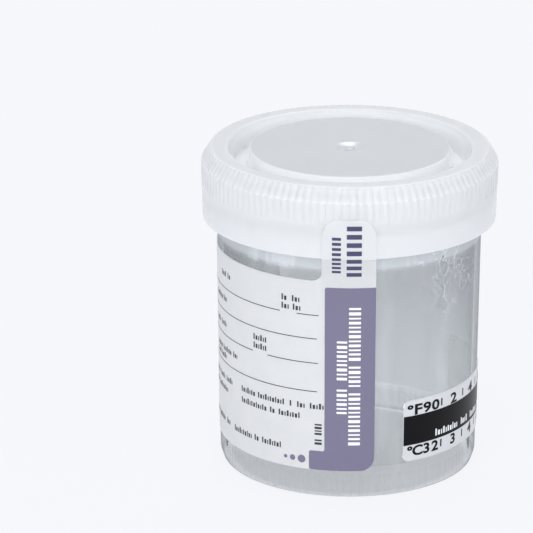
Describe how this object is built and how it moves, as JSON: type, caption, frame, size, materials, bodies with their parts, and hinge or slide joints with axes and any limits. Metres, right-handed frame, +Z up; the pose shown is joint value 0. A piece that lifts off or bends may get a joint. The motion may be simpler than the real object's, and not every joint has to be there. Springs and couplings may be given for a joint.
{
  "type": "specimen container",
  "caption": "Translucent screw-capped specimen container: ribbed plug-seal cap, tapered jar on a fluted foot, write-on label with seal tab, temperature strip",
  "frame": {"origin": "middle of the standing ring, on the table", "axes": "+Z up along the jar's axis, -Y through the middle of the label's seal tab, +X to the right of it"},
  "size_m": [0.061, 0.0611, 0.0672],
  "materials": {
    "jar_plastic": "clear, slightly hazy moulded polypropylene",
    "cap_plastic": "milky translucent polypropylene, satin",
    "label_paper": "white coated label paper with a muted purple field",
    "strip_film": "clear film with a black band and plain scale numbers"
  },
  "bodies": {
    "jar": {"jar": "jar_plastic", "label": "label_paper", "temperature_strip": "strip_film"},
    "cap": {"cap": "cap_plastic", "seal_tab": "label_paper"}
  },
  "joints": [
    {"name": "cap_lift", "type": "slide", "parent": "jar", "child": "cap", "axis": [0, 0, 1], "range_m": [0, 0.03]}
  ]
}
